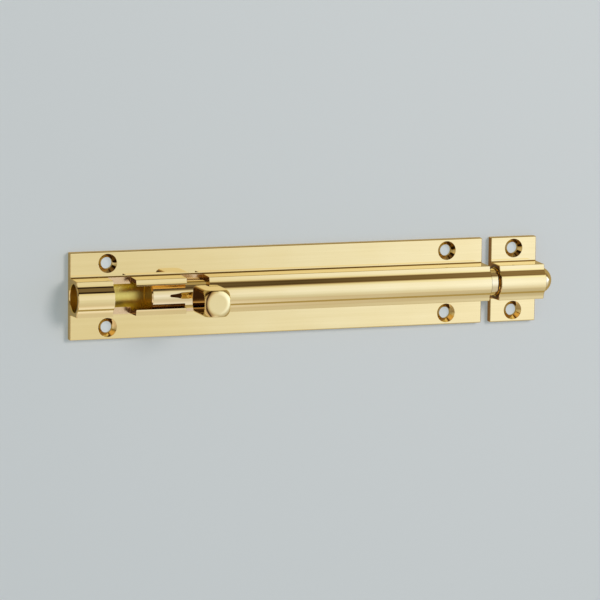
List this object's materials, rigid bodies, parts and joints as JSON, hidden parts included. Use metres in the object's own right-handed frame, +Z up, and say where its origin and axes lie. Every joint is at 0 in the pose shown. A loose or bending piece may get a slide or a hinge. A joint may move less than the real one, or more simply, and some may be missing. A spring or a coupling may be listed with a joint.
{
  "type": "straight barrel bolt",
  "caption": "Brass door bolt: a round rod slides and turns in a barrel on a flat plate, parks its square knob in a side notch, and shoots into a separate keep plate.",
  "frame": {"origin": "middle of the main plate's back face, where it meets the door", "axes": "+X along the bolt towards the keep, +Y into the door, +Z up the door when the bolt lies level"},
  "size_m": [0.1744, 0.0308, 0.03],
  "materials": {
    "plate_brass": "polished extruded brass",
    "rod_brass": "polished drawn brass",
    "knob_brass": "polished turned brass"
  },
  "bodies": {
    "fixed_plates": {"barrel_plate": "plate_brass", "keep_plate": "plate_brass"},
    "bolt": {"bolt_rod": "rod_brass"},
    "knob": {"knob": "knob_brass"}
  },
  "joints": [
    {"name": "bolt_slide", "type": "slide", "parent": "fixed_plates", "child": "bolt", "axis": [1, 0, 0], "range_m": [-0.026, 0]},
    {"name": "knob_turn", "type": "hinge", "parent": "bolt", "child": "knob", "pos_m": [-0.0316, -0.0064, 0], "axis": [1, 0, 0], "range_deg": [-87, 87]}
  ]
}
